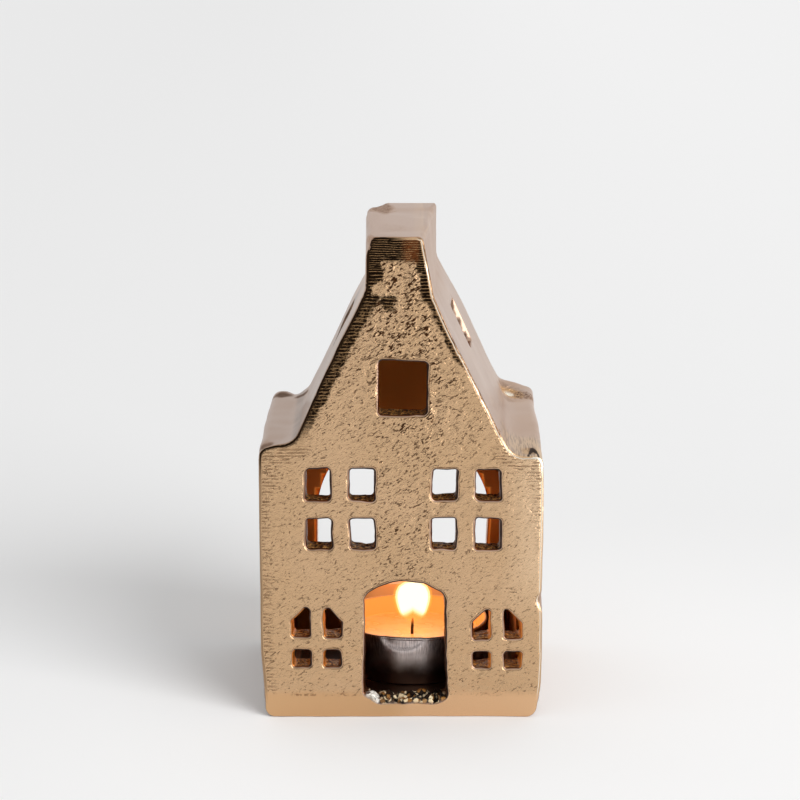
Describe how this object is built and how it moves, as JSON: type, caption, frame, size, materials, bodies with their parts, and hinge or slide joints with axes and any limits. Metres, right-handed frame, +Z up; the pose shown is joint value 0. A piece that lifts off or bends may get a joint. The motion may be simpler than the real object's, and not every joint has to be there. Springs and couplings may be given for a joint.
{
  "type": "tealight house",
  "caption": "Cast metal gabled canal house that holds a tealight: arched doorway, barred windows, roof windows and an arched opening at the back.",
  "frame": {"origin": "middle of the underside, on the surface that the house stands on", "axes": "-Y out of the front, +X to the right seen from the front, +Z up"},
  "size_m": [0.068, 0.058, 0.118],
  "materials": {
    "casting": "sand cast, plated champagne gold",
    "cup": "bright drawn foil",
    "wax": "paraffin wax, partly melted",
    "tab": "tinned sheet",
    "wick": "charred cotton"
  },
  "bodies": {
    "house": {"house_casting": "casting"},
    "tealight": {"tealight_cup": "cup", "wax": "wax", "wick_tab": "tab", "wick": "wick"}
  },
  "joints": [
    {"name": "tealight_lift", "type": "slide", "parent": "house", "child": "tealight", "axis": [0, 0, 1], "range_m": [0, 0.018]}
  ]
}
